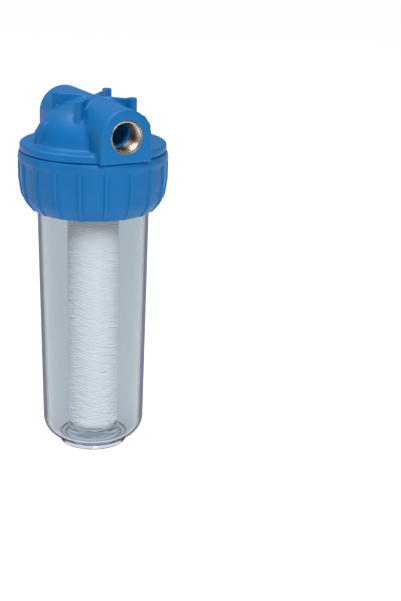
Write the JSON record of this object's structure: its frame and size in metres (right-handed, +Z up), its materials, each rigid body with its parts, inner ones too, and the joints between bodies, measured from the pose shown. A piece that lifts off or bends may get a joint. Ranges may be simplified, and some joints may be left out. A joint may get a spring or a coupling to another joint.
{
  "type": "cartridge filter housing",
  "caption": "Three-piece water filter housing: blue head with two threaded brass ports, ribbed ring nut, clear bowl and a string-wound cartridge inside.",
  "frame": {"origin": "centre of the bowl's foot ring, on the surface the housing stands on", "axes": "+Z up the housing's axis, +X out of the inlet port, +Y to the side that is fixed to the wall side of a bracket"},
  "size_m": [0.1368, 0.1304, 0.3185],
  "materials": {
    "blue_plastic": "satin moulded polypropylene",
    "brass": "machined, bright",
    "clear_plastic": "clear, polished",
    "rubber": "smooth, greased",
    "core_plastic": "moulded polypropylene",
    "yarn": "wound polypropylene yarn"
  },
  "bodies": {
    "head_body": {"head": "blue_plastic", "inlet_insert": "brass", "outlet_insert": "brass"},
    "bowl_body": {"bowl": "clear_plastic", "bowl_o_ring": "rubber", "cartridge_core": "core_plastic", "cartridge_winding": "yarn"},
    "nut_body": {"ring_nut": "blue_plastic"}
  },
  "joints": [
    {"name": "bowl_lowering", "type": "slide", "parent": "head_body", "child": "bowl_body", "axis": [0, 0, -1], "range_m": [0, 0.02401]},
    {"name": "ring_nut_turn", "type": "hinge", "parent": "bowl_body", "child": "nut_body", "pos_m": [0, 0, 0.2455], "axis": [0, 0, -1], "range_deg": [0, 1440]}
  ],
  "couplings": [
    {"joint": "bowl_lowering", "follows": "ring_nut_turn", "m_per_rad": 0.00095493}
  ]
}
